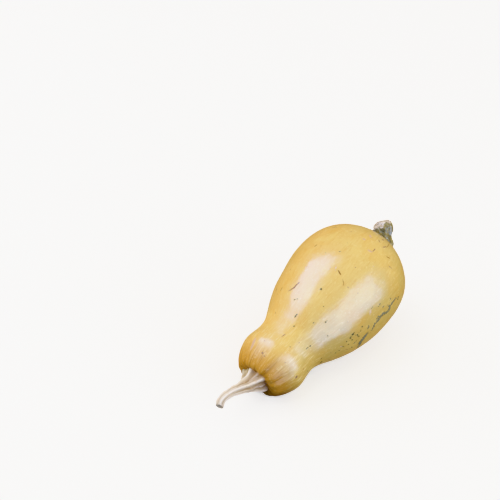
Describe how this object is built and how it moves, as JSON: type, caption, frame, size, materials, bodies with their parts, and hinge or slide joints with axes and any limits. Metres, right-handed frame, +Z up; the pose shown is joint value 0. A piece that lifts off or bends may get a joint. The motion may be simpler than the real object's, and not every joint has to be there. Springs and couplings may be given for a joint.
{
  "type": "butternut squash",
  "caption": "Whole butternut squash with its dry ribbed stem and its blossom-end knob, lying on its side as picked.",
  "frame": {"origin": "on the surface that the squash lies on, under the middle of its bounding box", "axes": "+X along the fruit from the stem towards the blossom end, +Z up from the surface, +Y to the left when looking along +X"},
  "size_m": [0.2554, 0.111, 0.1139],
  "materials": {
    "rind": "smooth waxy rind, satin, golden buff with fine pale flecks along the fruit and small green-grey scabs",
    "dry_stem": "dry corky stalk, matt, cream ridges with tan grooves",
    "knob": "dark green ribbed knob with yellow-green flecks, a pale corky head and a slight gloss"
  },
  "bodies": {
    "root": {"squash_body": "rind", "stem": "dry_stem", "blossom_knob": "knob"}
  },
  "joints": []
}
